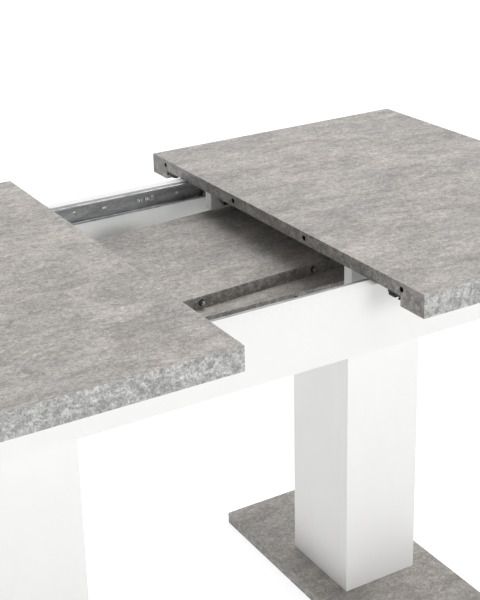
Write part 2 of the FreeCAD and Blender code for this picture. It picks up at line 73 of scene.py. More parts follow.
# Places are distances from the table's middle or heights above the floor, and all sizes are in metres.
SLIDE_HEIGHT = 0.7005
RAIL_FACE = 0.2758
RAIL_SCREWS = (-0.430, -0.076, 0.076, 0.430)
RAIL_SLOTS = ((-0.019, 2 * MM), (0.1254, 0.8 * MM), (-0.300, 3 * MM), (0.330, 3 * MM))
RAIL_STOPS = (0.045, 0.061)
MATING_EDGE = 0.1435
PIN_SPOTS = (-0.350, -0.107, 0.107, 0.350)
PIN_HEIGHT = 0.730
PIN_LENGTH = 0.028
PIN_SHOWS = 0.008
PIN_RADIUS = 4 * MM
LEAVES = (((0.0, 0.017, 0.6465), 0.0), ((0.052, 0.0545, 0.6665), math.radians(4.5)))
LEAF_HALF_WIDTH = 0.155
COLUMN_MIDDLE = 0.322
COLUMN_SCREW = 0.030
BASE_UNDERSIDE = 0.002
PLATE_TOP = 0.6365
CORNER_SCREW_ALONG, CORNER_SCREW_ACROSS = 0.452, 0.247
CORNER_BLOCK_RISE = 0.0445
GLIDE_ALONG, GLIDE_ACROSS = 0.095, 0.215
BATTEN_START, BATTEN_LENGTH, BATTEN_HALF_WIDTH = 0.1485, 0.400, 0.0095
BATTEN_FACE = {"near": 0.207, "far": 0.192}
BATTEN_UNDERSIDE = 0.686
BRACKET_SCREWS_ALONG, BRACKET_SCREWS_ACROSS = (0.230, 0.490), 0.2487
BRACKET_UNDERSIDE = 0.718
RIB_FACES, RIB_HEIGHTS = (0.3450, 0.3470), (0.7162, 0.7198)
CATCH_SCREWS, CATCH_UNDERSIDE = ((0.163, 0.3235), (0.163, 0.3400)), 0.7153
STRIKER_SCREW, STRIKER_UNDERSIDE = (-0.1535, 0.3355), 0.7178
SCREW_LENGTH = {"rail": 0.014, "corner": 0.042, "base": 0.050, "plate": 0.042,
                "batten": 0.048, "bracket": 0.016, "catch": 0.0045, "striker": 0.0020}
ALONG, UP, DOWN = (1, 0, 0), (0, 0, 1), (0, 0, -1)


def corners(node):
    """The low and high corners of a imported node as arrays."""
    low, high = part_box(node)
    return np.array(low), np.array(high)


# ---------------------------------------------------------------- sizes and colours a user would change

def length_setting(name, description, default, low, high):
    """A length that a user may change."""
    return FloatProperty(
        name=name, description=description, default=default, min=low, max=high, unit="LENGTH")


def colour_setting(name, description, default):
    """A colour that a user may change."""
    return FloatVectorProperty(
        name=name, description=description, default=default, size=3, min=0, max=1, subtype="COLOR")


def strength_setting(name, description, default, high):
    """A light's strength that a user may change."""
    return FloatProperty(name=name, description=description, default=default, min=0, max=high)


class TableSizes(bpy.types.PropertyGroup):
    """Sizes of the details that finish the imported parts."""
    panel_edge: length_setting(
        "Panel edge", "Radius worn on the edges of the white panels", 0.0006, 0.0001, 0.003)
    board_edge: length_setting(
        "Board edge", "Radius on the edges of the boards and the base plates' bands", 0.0003, 0.0001, 0.0009)
    plastic_edge: length_setting(
        "Plastic edge", "Radius on the edges of the moulded catches and guides", 0.0006, 0.0001, 0.002)
    steel_wall: length_setting(
        "Steel wall", "Thickness of the rolled steel of the slides", 0.0012, 0.0006, 0.0016)
    rail_bend: length_setting(
        "Rail bend", "Outer radius of the rail's two long bends", 0.0026, 0.0014, 0.004)
    runner_bend: length_setting(
        "Runner bend", "Outer radius of the runner's two long bends", 0.0020, 0.0014, 0.003)
    screw_recess: length_setting(
        "Screw recess", "Depth of the cross recess in a screw's head", 0.0010, 0.0002, 0.0016)
    pin_chamfer: length_setting(
        "Pin chamfer", "Chamfer on the tip of a locating pin", 0.0016, 0.0005, 0.003)
    pin_flutes: IntProperty(
        name="Pin flutes", description="Number of grooves along a locating pin", default=16, min=6, max=40)


class TableFinishes(bpy.types.PropertyGroup):
    """Colours of the finishes."""
    laminate: colour_setting(
        "Laminate", "Main grey of the concrete-pattern laminate", (0.350, 0.334, 0.318))
    edging: colour_setting("Edging", "Main grey of the edge bands", (0.368, 0.368, 0.361))
    # Painted shade: this darker, browner grey stands in for the shade on edge bands that face along the table
    # and on the leaves' edges.
    joint: colour_setting(
        "Joint edging", "Main grey of the bands that meet another board", (0.235, 0.225, 0.212))
    backing: colour_setting("Backing", "Plain paper under the boards", (0.50, 0.49, 0.47))
    white: colour_setting("White", "White of the frame and columns", (0.83, 0.83, 0.825))
    chipboard: colour_setting("Chipboard", "Main colour of bare chipboard", (0.55, 0.43, 0.28))
    zinc: colour_setting("Zinc", "Main grey of the galvanised slides", (0.40, 0.41, 0.42))
    bright: colour_setting(
        "Bright steel", "Colour of the balls, cages, pins and screws", (0.78, 0.78, 0.77))
    black: colour_setting("Black plastic", "Colour of the catches and guides", (0.018, 0.018, 0.019))
    felt: colour_setting("Felt", "Colour of the floor glides", (0.22, 0.215, 0.21))


class StudioSettings(bpy.types.PropertyGroup):
    """Camera and light."""
    lens: FloatProperty(
        name="Lens", description="Focal length on a 36 mm sensor",
        default=76.0, min=20, max=200, unit="CAMERA")
    key: strength_setting("Key light", "Strength of the broad light from above", 1.95, 20)
    fill: strength_setting("Fill light", "Strength of the broad light from the front", 0.96, 20)
    side: strength_setting("Side light", "Strength of the broad light from the right", 0.25, 20)
    sky: strength_setting("Sky", "Strength of the even light from all round", 0.36, 5)
    screen: strength_setting("Back screen", "Strength of the pale screen behind the table", 1.3, 5)
    floor_glow: strength_setting("Floor glow", "Light that the pale floor gives of itself", 0.78, 3)


def sizes():
    """The sizes in use."""
    return bpy.context.scene.table_sizes


def finishes():
    """The colours in use."""
    return bpy.context.scene.table_finishes


# ---------------------------------------------------------------- surfaces worked out on grids

def ring_faces(rings, around):
    """Quads between rings of points: each joins point (i, j) to the next ring and the next place round it."""
    i, j = (a.ravel() for a in np.meshgrid(np.arange(rings - 1), np.arange(around), indexing="ij"))
    here, above, next_j = i * around, (i + 1) * around, (j + 1) % around
    return np.stack([here + j, here + next_j, above + next_j, above + j], 1).tolist()


def capped_faces(rings, around):
    """The same quads, with a flat face over the first ring and one over the last."""
    last = (rings - 1) * around
    return [*ring_faces(rings, around), list(range(around)), list(range(last, last + around))]


def swept(profile, stations):
    """A closed profile carried along X, flat at both ends: point (i, j) is (station i, profile j)."""
    x = np.repeat(np.asarray(stations, float), len(profile))
    yz = np.tile(profile, (len(stations), 1))
    return np.column_stack([x, yz]), capped_faces(len(stations), len(profile))


def lathed(radii, heights, segments, origin, axis, ripple=None, dent=None):
    """A profile turned about an axis: at angle a and step k, a point is
    origin + height k * axis + radius k * (cos a, sin a).

    ripple(radius, a) gives a new radius for each point.
    dent(radius, a) says how far a point is pushed along the axis.
    """
    axis = np.asarray(axis, float) / np.linalg.norm(axis)
    helper = np.array([0.0, 0.0, 1.0]) if abs(axis[2]) < 0.9 else np.array([1.0, 0.0, 0.0])
    across = np.cross(helper, axis)
    across /= np.linalg.norm(across)
    up = np.cross(axis, across)
    angle = np.arange(segments) * 2 * np.pi / segments
    radius, turn = np.meshgrid(np.asarray(radii, float), angle, indexing="ij")
    height = np.repeat(np.asarray(heights, float)[:, None], segments, 1)
    if dent is not None:
        height = height + dent(radius, turn)
    if ripple is not None:
        radius = ripple(radius, turn)
    points = (np.asarray(origin, float) + height[..., None] * axis
              + (radius * np.cos(turn))[..., None] * across + (radius * np.sin(turn))[..., None] * up)
    return points.reshape(-1, 3), ring_faces(len(radii), segments)


def rounded_block(low, high, radius, steps=3):
    """A ball pulled apart into a block: point (u, v) is the ball's own point there, moved out along each
    axis by half the block's flat length, towards the side that the point is on.
    """
    low, high = np.asarray(low, float), np.asarray(high, float)
    flat = (high - low) / 2 - radius
    quarter = np.linspace(0, np.pi / 2, steps + 1)
    turn = np.concatenate([quarter + k * np.pi / 2 for k in range(4)])
    rise = np.concatenate([quarter - np.pi / 2, quarter])
    turn_x = np.repeat([1, -1, -1, 1], steps + 1)
    turn_y = np.repeat([1, 1, -1, -1], steps + 1)
    rise_z = np.repeat([-1, 1], steps + 1)
    v, u = np.meshgrid(rise, turn, indexing="ij")
    ball = np.stack([np.cos(v) * np.cos(u), np.cos(v) * np.sin(u), np.sin(v)], -1) * radius
    shift = np.stack([np.broadcast_to(turn_x * flat[0], v.shape), np.broadcast_to(turn_y * flat[1], v.shape),
                      np.broadcast_to((rise_z * flat[2])[:, None], v.shape)], -1)
    return (ball + shift).reshape(-1, 3) + (low + high) / 2, capped_faces(*v.shape)


def arc(centre, radius, start, end, steps=6):
    """Points round part of a circle, angles in degrees: centre + radius * (cos, sin)."""
    angle = np.radians(np.linspace(start, end, steps + 1))
    return np.column_stack([centre[0] + radius * np.cos(angle), centre[1] + radius * np.sin(angle)])


def make_piece(name, shapes, body, finish, replaced=()):
    """Joins shapes of (points, faces) into one closed, outward-facing mesh object that rides on a body."""
    points, faces, start = [], [], 0
    for own_points, own_faces in shapes:
        points.append(own_points)
        faces += [[index + start for index in face] for face in own_faces]
        start += len(own_points)
    mesh = bpy.data.meshes.new(name)
    mesh.from_pydata(np.concatenate(points), [], faces)
    finish_mesh(mesh)
    return dress(bpy.data.objects.new(name, mesh), body, finish, replaced)


def finish_mesh(mesh):
    """Merges doubled points, turns the faces outward, and shades smoothly across shallow edges only."""
    work = bmesh.new()
    work.from_mesh(mesh)
    bmesh.ops.remove_doubles(work, verts=work.verts, dist=GEOMETRY_TINY * 10)
    bmesh.ops.dissolve_degenerate(work, edges=work.edges, dist=GEOMETRY_TINY)
    bmesh.ops.recalc_face_normals(work, faces=work.faces)
    for face in work.faces:
        face.smooth = True
    limit = math.radians(SMOOTH_BELOW)
    for edge in work.edges:
        edge.smooth = len(edge.link_faces) == 2 and edge.calc_face_angle(0) < limit
    work.to_mesh(mesh)
    work.free()


def dress(item, body, finish, replaced):
    """Links a piece, gives it its finish and body, and hides the nodes that it stands for."""
    bpy.context.scene.collection.objects.link(item)
    item.data.materials.clear()
    item.data.materials.append(finish_named(finish))
    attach(item, body)
    if replaced:
        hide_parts(*replaced)
    return item


def with_holes(item, cutters):
    """Cuts shapes of (points, faces) out of a piece, and keeps the result as its mesh."""
    tools = []
    for number, (points, faces) in enumerate(cutters):
        mesh = bpy.data.meshes.new("cutter")
        mesh.from_pydata(points, [], faces)
        finish_mesh(mesh)
        tool = bpy.data.objects.new("cutter_%d" % number, mesh)
        bpy.context.scene.collection.objects.link(tool)
        modifier = item.modifiers.new("hole", "BOOLEAN")
        modifier.object = tool
        modifier.solver = "EXACT"
        tools.append(tool)
    bpy.context.view_layer.update()
    result = bpy.data.meshes.new_from_object(item.evaluated_get(bpy.context.evaluated_depsgraph_get()))
    item.modifiers.clear()
    result.name = item.data.name
    item.data = result
    for tool in tools:
        bpy.data.objects.remove(tool)
    finish_mesh(item.data)
    return item


# ---------------------------------------------------------------- finishes

def put(tree, kind, wires, **settings):
    """Adds a shader node with its settings, and fills its inputs with values or with other nodes' outputs."""
    node = tree.nodes.new("ShaderNode" + kind)
    for name, value in settings.items():
        setattr(node, name, value)
    for name, value in wires.items():
        if isinstance(value, bpy.types.NodeSocket):
            tree.links.new(value, node.inputs[name])
        else:
            node.inputs[name].default_value = value
    return node


def new_group(name, inputs, outputs):
    """An empty shader node group with named sockets, and its two end nodes."""
    tree = bpy.data.node_groups.new(name, "ShaderNodeTree")
    for label, kind, value in inputs:
        socket = tree.interface.new_socket(label, in_out="INPUT", socket_type="NodeSocket" + kind)
        if value is not None:
            socket.default_value = value
    for label, kind in outputs:
        tree.interface.new_socket(label, in_out="OUTPUT", socket_type="NodeSocket" + kind)
    return tree, tree.nodes.new("NodeGroupInput"), tree.nodes.new("NodeGroupOutput")


def stretched(tree, start):
    """The group's coordinates times its stretch."""
    wires = {0: start.outputs["Place"], 1: start.outputs["Stretch"]}
    return put(tree, "VectorMath", wires, operation="MULTIPLY").outputs[0]


def times(tree, first, second):
    """The product of two values."""
    return put(tree, "Math", {0: first, 1: second}, operation="MULTIPLY").outputs[0]


def spread_between(tree, value, low, high, start=0.0, end=1.0):
    """A value between two levels, spread softly from a start to an end."""
    wires = {"Value": value, "From Min": low, "From Max": high, "To Min": start, "To Max": end}
    return put(tree, "MapRange", wires, interpolation_type="SMOOTHSTEP").outputs[0]


def make_clouds_group():
    """Soft patches: noise on stretched coordinates, then spread between two levels."""
    tree, start, end = new_group("clouds", (
        ("Place", "Vector", None), ("Stretch", "Vector", (1, 1, 1)), ("Detail", "Float", 4.0),
        ("Roughness", "Float", 0.55), ("Warp", "Float", 0.0), ("Low", "Float", 0.35),
        ("High", "Float", 0.65)), (("Mask", "Float"),))
    noise = put(tree, "TexNoise", {
        "Vector": stretched(tree, start), "Scale": 1.0, "Detail": start.outputs["Detail"],
        "Roughness": start.outputs["Roughness"], "Distortion": start.outputs["Warp"]})
    spread = spread_between(tree, noise.outputs[0], start.outputs["Low"], start.outputs["High"])
    tree.links.new(spread, end.inputs["Mask"])


def make_veins_group():
    """Thin broken lines along a noise's middle level: full on the level, none a width away from it."""
    tree, start, end = new_group("veins", (
        ("Place", "Vector", None), ("Stretch", "Vector", (1, 1, 1)), ("Width", "Float", 0.02),
        ("Warp", "Float", 0.3)), (("Mask", "Float"),))
    scaled = stretched(tree, start)
    noise = put(tree, "TexNoise", {"Vector": scaled, "Scale": 1.0, "Detail": 3.0,
                                   "Roughness": 0.5, "Distortion": start.outputs["Warp"]})
    away = put(tree, "Math", {0: noise.outputs[0], 1: 0.5}, operation="SUBTRACT")
    distance = put(tree, "Math", {0: away.outputs[0]}, operation="ABSOLUTE")
    line = spread_between(tree, distance.outputs[0], 0.0, start.outputs["Width"], 1.0, 0.0)
    broken = put(tree, "TexNoise", {"Vector": scaled, "Scale": 2.3, "Detail": 1.0})
    gaps = spread_between(tree, broken.outputs[0], 0.48, 0.62)
    tree.links.new(times(tree, line, gaps), end.inputs["Mask"])


def make_specks_group():
    """Small spots: cells whose nearest centre lies within a size that differs from cell to cell."""
    tree, start, end = new_group("specks", (
        ("Place", "Vector", None), ("Stretch", "Vector", (1, 1, 1)), ("Size", "Float", 0.2),
        ("Share", "Float", 0.5)), (("Mask", "Float"),))
    cells = put(tree, "TexVoronoi", {"Vector": stretched(tree, start), "Scale": 1.0})
    spot = spread_between(tree, cells.outputs["Distance"], start.outputs["Size"], 0.0)
    own = put(tree, "SeparateColor", {0: cells.outputs["Color"]})
    chosen = put(tree, "Math", {0: own.outputs[0], 1: start.outputs["Share"]}, operation="LESS_THAN")
    tree.links.new(times(tree, spot, chosen.outputs[0]), end.inputs["Mask"])


def make_facing_group():
    """How far a surface faces up, down or along the table: its own normal spread between two levels."""
    tree, start, end = new_group("facing", (("Normal", "Vector", None),),
                                 (("Up", "Float"), ("Down", "Float"), ("Along", "Float")))
    parted = put(tree, "SeparateXYZ", {0: start.outputs["Normal"]})
    size = put(tree, "Math", {0: parted.outputs["X"]}, operation="ABSOLUTE")
    level = put(tree, "MapRange", {"Value": size.outputs[0], "From Min": 0.6, "From Max": 0.9})
    tree.links.new(level.outputs[0], end.inputs["Along"])
    for label, near, far in (("Up", 0.6, 0.9), ("Down", -0.6, -0.9)):
        level = put(tree, "MapRange", {"Value": parted.outputs["Z"], "From Min": near, "From Max": far})
        tree.links.new(level.outputs[0], end.inputs[label])


GROUPS = (make_clouds_group, make_veins_group, make_specks_group, make_facing_group)


class Finish:
    """One material while it is being put together: its tree, and its colour, gain and height so far."""

    def __init__(self, name, colour, rough, metal=0.0):
        self.material = bpy.data.materials.new(name + "_finish")
        self.material.use_nodes = True
        self.material.diffuse_color = (*colour, 1.0)
        self.tree = self.material.node_tree
        self.shader = self.tree.nodes["Principled BSDF"]
        self.shader.inputs["Metallic"].default_value = metal
        self.shader.inputs["Roughness"].default_value = rough
        self.place = put(self.tree, "TexCoord", {})
        self.colour = (*colour, 1.0)
        self.gain = None
        self.height = None

    def group(self, kind, wires):
        """Places a shader node group in this material."""
        return put(self.tree, "Group", wires, node_tree=bpy.data.node_groups[kind])

    def mask(self, kind, values):
        """A group's mask on this material's object coordinates."""
        wires = {key.capitalize(): value for key, value in values.items()}
        wires["Place"] = self.place.outputs["Object"]
        return self.group(kind, wires).outputs["Mask"]

    def clouds(self, *stretch, **values):
        """Soft patches, stretched to so many a metre along X, Y and Z."""
        return self.mask("clouds", {"stretch": stretch, **values})

    def veins(self, *stretch, **values):
        """Thin broken lines, stretched in the same way."""
        return self.mask("veins", {"stretch": stretch, **values})

    def specks(self, *stretch, **values):
        """Small spots, stretched in the same way."""
        return self.mask("specks", {"stretch": stretch, **values})

    def facing(self, label):
        """How far the surface faces up, down or along the table."""
        return self.group("facing", {"Normal": self.place.outputs["Normal"]}).outputs[label]

    def share(self, mask, amount):
        """A mask times an amount."""
        return times(self.tree, mask, amount)

    def blend(self, mask, colour, amount=1.0):
        """Mixes the colour so far towards another one where the mask says."""
        factor = self.share(mask, amount) if amount != 1.0 else mask
        mixed = put(self.tree, "Mix", {0: factor, 6: self.colour, 7: (*colour, 1.0)}, data_type="RGBA")
        self.colour = mixed.outputs[2]
        return self

    def tone(self, mask, low, high):
        """Multiplies the whole colour by a gain that runs from low to high with the mask."""
        gain = put(self.tree, "MapRange", {"Value": mask, "To Min": low, "To Max": high}).outputs[0]
        if self.gain is not None:
            gain = times(self.tree, self.gain, gain)
        self.gain = gain
        return self

    def calm(self, mask, amount):
        """Eases the gain towards one where the mask says."""
        self.gain = put(self.tree, "Mix", {0: self.share(mask, amount), 2: self.gain, 3: 1.0}).outputs[0]
        return self

    def rough(self, mask, low, high):
        """Sets the roughness between two values by a mask."""
        level = put(self.tree, "MapRange", {"Value": mask, "To Min": low, "To Max": high})
        self.tree.links.new(level.outputs[0], self.shader.inputs["Roughness"])
        return self

    def raise_by(self, mask, amount):
        """Adds a mask to the surface's height, in millimetres."""
        added = self.share(mask, amount)
        if self.height is not None:
            added = put(self.tree, "Math", {0: self.height, 1: added}, operation="ADD").outputs[0]
        self.height = added
        return self

    def done(self, strength):
        """Wires the colour, its gain and the height into the shader."""
        wires = {0: 1.0, 6: self.colour, 7: self.gain}
        toned = put(self.tree, "Mix", wires, data_type="RGBA", blend_type="MULTIPLY")
        self.tree.links.new(toned.outputs[2], self.shader.inputs["Base Color"])
        if self.height is not None:
            bump = put(self.tree, "Bump", {"Height": self.height, "Distance": MM, "Strength": strength})
            self.tree.links.new(bump.outputs[0], self.shader.inputs["Normal"])
        return self.material


def concrete_laminate():
    """Matt laminate printed as trowelled concrete: clouds, mottling, pale dabs, veins and dark specks."""
    made = Finish("concrete_laminate", finishes().laminate, 0.5)
    broad = made.clouds(4.5, 9.0, 9.0, detail=3.0, warp=0.6, low=0.38, high=0.62)
    patch = made.clouds(11.0, 17.0, 17.0, detail=4.0, roughness=0.6, warp=1.0, low=0.40, high=0.64)
    long_cloud = made.clouds(15.0, 52.0, 50.0, detail=5.0, roughness=0.62, warp=0.7, low=0.38, high=0.62)
    mottle = made.clouds(110.0, 135.0, 130.0, detail=5.0, roughness=0.68, warp=0.9, low=0.38, high=0.62)
    fine = made.clouds(330.0, 380.0, 360.0, detail=2.0, roughness=0.7, low=0.34, high=0.66)
    squiggle = made.veins(58.0, 88.0, 85.0, width=0.030, warp=1.6)
    vein = made.veins(1.7, 7.5, 7.5, width=0.010, warp=0.5)
    fleck = made.specks(95.0, 150.0, 140.0, size=0.46, share=0.14)
    speck = made.specks(150.0, 230.0, 200.0, size=0.36, share=0.12)
    warm = tuple(c * f for c, f in zip(finishes().laminate, (1.03, 0.99, 0.95)))
    made.blend(broad, warm, 0.7)
    made.tone(broad, 0.93, 1.07).tone(patch, 1.07, 0.86).tone(long_cloud, 0.92, 1.09).tone(mottle, 1.15, 0.85)
    made.tone(fine, 0.83, 1.17).tone(squiggle, 0.98, 1.32).tone(vein, 1.0, 1.20).tone(fleck, 1.0, 1.42)
    made.tone(speck, 1.0, 0.72)
    made.blend(made.facing("Down"), finishes().backing, 0.9).calm(made.facing("Down"), 0.85)
    made.rough(mottle, 0.44, 0.58)
    made.raise_by(mottle, 0.03).raise_by(fine, 0.02)
    return made.done(0.5)


def painted_shade_edging():
    """Painted shade: the edge band in a browner, darker grey, standing in for the shade on the leaves' edges.
    """
    return concrete_edging("painted_shade_edging", finishes().joint)


def concrete_edging(name="concrete_edging", colour=None):
    """Edge band printed as broken concrete: strong pale and dark grain across the band. Faces turned along
    the table are darkened to a browner grey as painted shade.
    """
    made = Finish(name, colour or finishes().edging, 0.5)
    cloud = made.clouds(46.0, 46.0, 62.0, detail=4.0, roughness=0.65, warp=1.0, low=0.40, high=0.60)
    grain = made.clouds(140.0, 140.0, 150.0, detail=4.0, roughness=0.7, warp=0.9, low=0.41, high=0.59)
    fine = made.clouds(430.0, 430.0, 330.0, detail=2.0, roughness=0.7, low=0.35, high=0.65)
    crack = made.veins(20.0, 20.0, 36.0, width=0.03, warp=1.2)
    pit = made.specks(190.0, 190.0, 190.0, size=0.40, share=0.16)
    # Painted shade: faces turned along the table, such as the mating edges, are blended to the darker,
    # browner grey.
    if colour is None:
        made.blend(made.facing("Along"), finishes().joint)
    made.tone(cloud, 0.80, 1.20).tone(grain, 0.76, 1.26).tone(fine, 0.86, 1.14)
    made.tone(crack, 1.0, 1.30).tone(pit, 1.0, 0.66)
    made.rough(grain, 0.40, 0.58)
    made.raise_by(grain, 0.04).raise_by(fine, 0.02)
    return made.done(0.5)


def white_panel():
    """Smooth white melamine: faint orange peel, slight clouding of tone and gloss, dust on what faces up."""
    made = Finish("white_panel", finishes().white, 0.36)
    peel = made.clouds(620.0, 620.0, 620.0, detail=2.0, roughness=0.5, low=0.3, high=0.7)
    cloud = made.clouds(7.0, 7.0, 5.0, detail=3.0, low=0.35, high=0.65)
    wipe = made.clouds(26.0, 26.0, 9.0, detail=4.0, warp=0.8, low=0.35, high=0.65)
    dust = made.specks(260.0, 260.0, 260.0, size=0.16, share=0.05)
    made.blend(wipe, tuple(c * f for c, f in zip(finishes().white, (0.99, 0.985, 0.975))), 0.5)
    made.blend(made.share(dust, made.facing("Up")), (0.62, 0.60, 0.57), 0.35)
    made.tone(cloud, 0.985, 1.0).tone(peel, 0.995, 1.0)
    made.rough(wipe, 0.30, 0.42)
    made.raise_by(peel, 0.012)
    return made.done(0.35)


def raw_board():
    """Bare chipboard: flakes of several browns, each with its own tone, and dark gaps between them."""
    made = Finish("raw_board", finishes().chipboard, 0.8)
    flake = made.clouds(160.0, 160.0, 260.0, detail=5.0, roughness=0.75, warp=1.5, low=0.38, high=0.62)
    chip = made.specks(170.0, 170.0, 240.0, size=0.55, share=0.5)
    gap = made.specks(330.0, 330.0, 330.0, size=0.4, share=0.3)
    made.tone(flake, 0.74, 1.12).tone(chip, 1.0, 1.25).tone(gap, 1.0, 0.45)
    made.rough(flake, 0.72, 0.9)
    made.raise_by(flake, 0.12).raise_by(chip, 0.08)
    return made.done(0.8)


def galvanised_steel():
    """Rolled zinc-plated steel: fine drawing lines along the length, spangle, grease smears and scratches."""
    made = Finish("galvanised_steel", finishes().zinc, 0.38, metal=0.92)
    line = made.clouds(5.0, 700.0, 700.0, detail=3.0, roughness=0.6, low=0.3, high=0.7)
    spangle = made.clouds(60.0, 90.0, 90.0, detail=2.0, warp=1.5, low=0.35, high=0.65)
    smear = made.clouds(16.0, 60.0, 60.0, detail=4.0, warp=0.8, low=0.42, high=0.62)
    scratch = made.veins(30.0, 160.0, 160.0, width=0.008, warp=0.6)
    made.tone(line, 0.92, 1.08).tone(spangle, 0.90, 1.10).tone(smear, 1.0, 0.78).tone(scratch, 1.0, 1.35)
    made.rough(smear, 0.30, 0.50)
    made.raise_by(line, 0.01).raise_by(spangle, 0.02)
    return made.done(0.6)


def bright_steel():
    """Bright zinc: clean metal with faint turning marks and a few dull spots."""
    made = Finish("bright_steel", finishes().bright, 0.2, metal=1.0)
    dull = made.clouds(240.0, 240.0, 240.0, detail=3.0, warp=0.5, low=0.4, high=0.65)
    fine = made.clouds(900.0, 1500.0, 1500.0, detail=2.0, low=0.3, high=0.7)
    made.tone(dull, 1.0, 0.80).tone(fine, 0.95, 1.05)
    made.rough(dull, 0.14, 0.34)
    made.raise_by(fine, 0.006)
    return made.done(0.5)


def locating_pin():
    """Duller pin steel with faint drawing lines and rubbed dark marks."""
    duller = tuple(c * 0.45 for c in finishes().bright)
    made = Finish("wood_pin", duller, 0.20, metal=1.0)
    line = made.clouds(900.0, 120.0, 900.0, detail=2.0, low=0.3, high=0.7)
    rub = made.clouds(300.0, 300.0, 300.0, detail=3.0, warp=0.6, low=0.45, high=0.65)
    made.tone(rub, 1.0, 0.70).tone(line, 0.93, 1.07)
    made.rough(rub, 0.18, 0.42)
    made.raise_by(line, 0.01)
    return made.done(0.5)


def black_plastic():
    """Moulded black plastic: fine spark-eroded texture, slightly paler where rubbed."""
    made = Finish("black_plastic", finishes().black, 0.45)
    texture = made.clouds(1500.0, 1500.0, 1500.0, detail=2.0, low=0.3, high=0.7)
    rub = made.clouds(120.0, 120.0, 120.0, detail=4.0, warp=0.5, low=0.5, high=0.7)
    made.blend(rub, (0.045, 0.045, 0.047), 0.7)
    made.tone(texture, 0.8, 1.2)
    made.rough(rub, 0.48, 0.34)
    made.raise_by(texture, 0.02)
    return made.done(0.7)


def grey_felt():
    """Pressed felt: matted fibres in three tones."""
    made = Finish("grey_felt", finishes().felt, 0.95)
    fibre = made.veins(420.0, 420.0, 420.0, width=0.05, warp=2.0)
    tuft = made.clouds(500.0, 500.0, 500.0, detail=4.0, roughness=0.7, warp=1.0, low=0.35, high=0.65)
    made.tone(tuft, 0.62, 1.2).tone(fibre, 1.0, 1.8)
    made.rough(tuft, 0.9, 1.0)
    made.raise_by(tuft, 0.2).raise_by(fibre, 0.15)
    return made.done(1.0)


FINISH_MAKERS = {
    "concrete_laminate": concrete_laminate,
    "concrete_edging": concrete_edging,
    "painted_shade_edging": painted_shade_edging,
    "white_panel": white_panel,
    "raw_board": raw_board,
    "galvanised_steel": galvanised_steel,
    "bright_steel": bright_steel,
    "wood_pin": locating_pin,
    "black_plastic": black_plastic,
    "grey_felt": grey_felt,
}


def finish_named(name):
    """The material of a slot, made the first time it is asked for."""
    if name not in FINISH_MAKERS:
        raise RuntimeError("there is no finish named %s" % name)
    return bpy.data.materials.get(name + "_finish") or FINISH_MAKERS[name]()


# ---------------------------------------------------------------- the pieces

class TABLE_OT_finishes(bpy.types.Operator):
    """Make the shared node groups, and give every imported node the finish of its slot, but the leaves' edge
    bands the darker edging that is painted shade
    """
    bl_idname = "table.finishes"
    bl_label = "Finishes"

    def execute(self, context):
        for make in GROUPS:
            make()
        for name, node in frame["nodes"].items():
            node.data.materials.clear()
            # Painted shade: the leaves' edge bands take the darker, browner edging instead of their slot's
            # finish.
            finish = "painted_shade_edging" if name.endswith("leaf_edge_bands") else NODE_SLOTS[name]
            node.data.materials.append(finish_named(finish))
        return {"FINISHED"}


def soften(node, radius, segments=2):
    """Joins a node's loose triangles and rounds its edges, with modifiers only."""
    item = frame["nodes"][node]
    weld = item.modifiers.new("Join", "WELD")
    weld.merge_threshold = GEOMETRY_TINY * 10
    bevel = item.modifiers.new("Soft edges", "BEVEL")
    bevel.width = radius
    bevel.segments = segments
    bevel.limit_method = "ANGLE"
    bevel.angle_limit = math.radians(40)
    bevel.use_clamp_overlap = True
    return item


class TABLE_OT_boards(bpy.types.Operator):
    """Round the edges of the top boards, leaves and base plates, and of the base plates' edge bands"""
    bl_idname = "table.boards"
    bl_label = "Boards and edge bands"

    def execute(self, context):
        for name, slot in NODE_SLOTS.items():
            if slot == "concrete_laminate" or name == "base_edging":
                soften(name, sizes().board_edge)
        return {"FINISHED"}


class TABLE_OT_panels(bpy.types.Operator):
    """Round the edges of the white aprons, columns, plates and battens, and of the blocks inside"""
    bl_idname = "table.panels"
    bl_label = "White panels"

    def execute(self, context):
        for name, slot in NODE_SLOTS.items():
            if slot in ("white_panel", "raw_board"):
                soften(name, sizes().panel_edge)
        return {"FINISHED"}


def rail_profile(low, high, side):
    """Closed outline of the rail in (y, z): a web, two rolled corners and two lips towards the balls."""
    wall, bend = sizes().steel_wall, sizes().rail_bend
    depth, half = high[1] - low[1], (high[2] - low[2]) / 2
    lip_bend, lip_end = 1.5 * MM, half - 4.6 * MM
    outer = np.concatenate([
        [[0, 0]],
        arc((bend, half - bend), bend, 180, 90),
        arc((depth - lip_bend, half - lip_bend), lip_bend, 90, 0),
        arc((depth - wall / 2, lip_end + wall / 2), wall / 2, 0, -180, 8),
        [[depth - wall, half - lip_bend]],
        arc((depth - lip_bend, half - lip_bend), lip_bend - wall, 0, 90, 3)[1:],
        arc((bend, half - bend), bend - wall, 90, 180),
        [[wall, 0]],
    ])
    return mirrored_outline(outer, (low[2] + high[2]) / 2, side, max(abs(low[1]), abs(high[1])))


